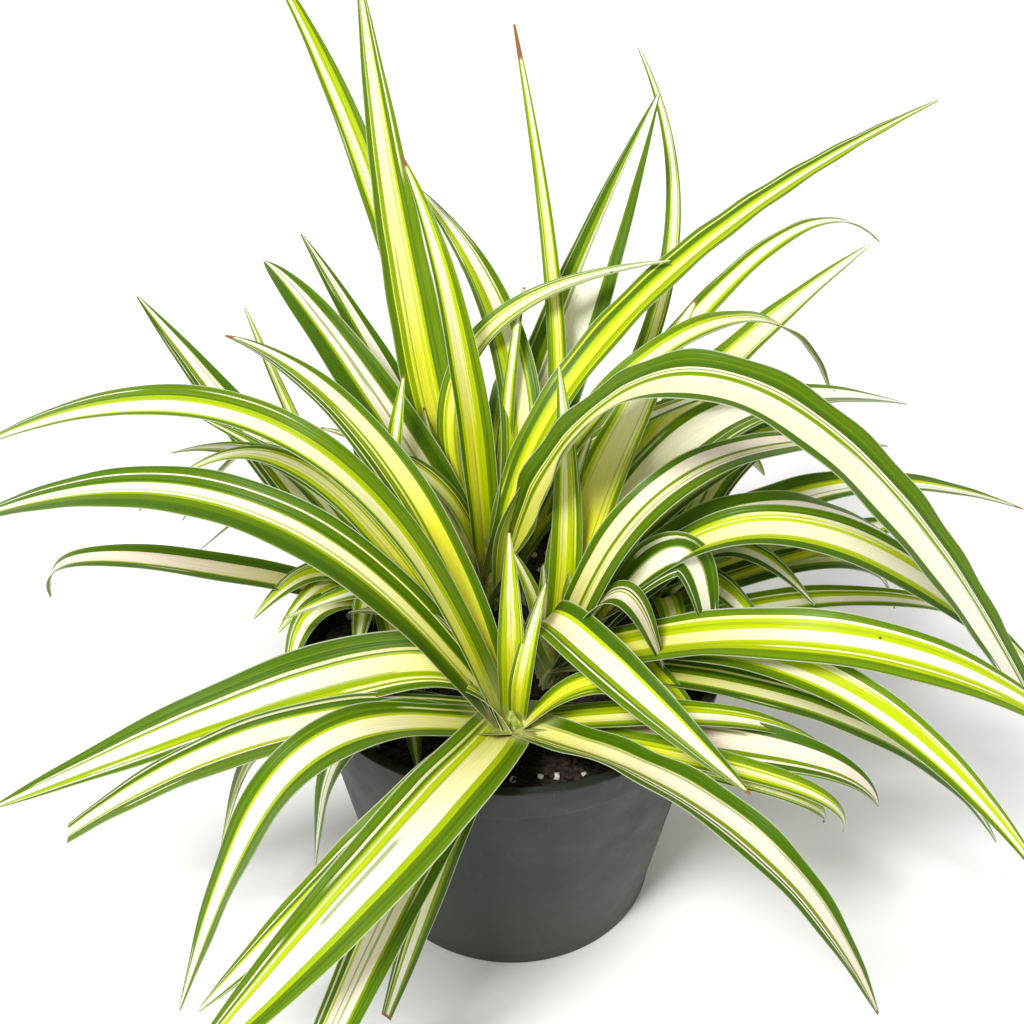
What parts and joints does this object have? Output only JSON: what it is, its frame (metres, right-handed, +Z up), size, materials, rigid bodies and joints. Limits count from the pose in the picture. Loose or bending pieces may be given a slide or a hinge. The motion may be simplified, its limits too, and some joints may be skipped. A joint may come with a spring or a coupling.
{
  "type": "potted spider plant",
  "caption": "Spider plant with long arching leaves striped green and cream, growing as a full tuft from soil in a round tapered plastic nursery pot.",
  "frame": {"origin": "centre of the pot's flat base, on the surface it stands on", "axes": "+Z up along the pot's axis, -Y towards the front of the plant, +X to its right as seen from the front"},
  "size_m": [0.4044, 0.3901, 0.2973],
  "materials": {
    "pot": "moulded, satin",
    "soil": "damp, crumbly",
    "leaf": "smooth, slightly waxy"
  },
  "bodies": {
    "root": {"pot": "pot", "soil": "soil", "shoot_front": "leaf", "shoot_middle": "leaf", "shoot_back": "leaf", "shoot_left": "leaf", "shoot_right": "leaf"}
  },
  "joints": []
}
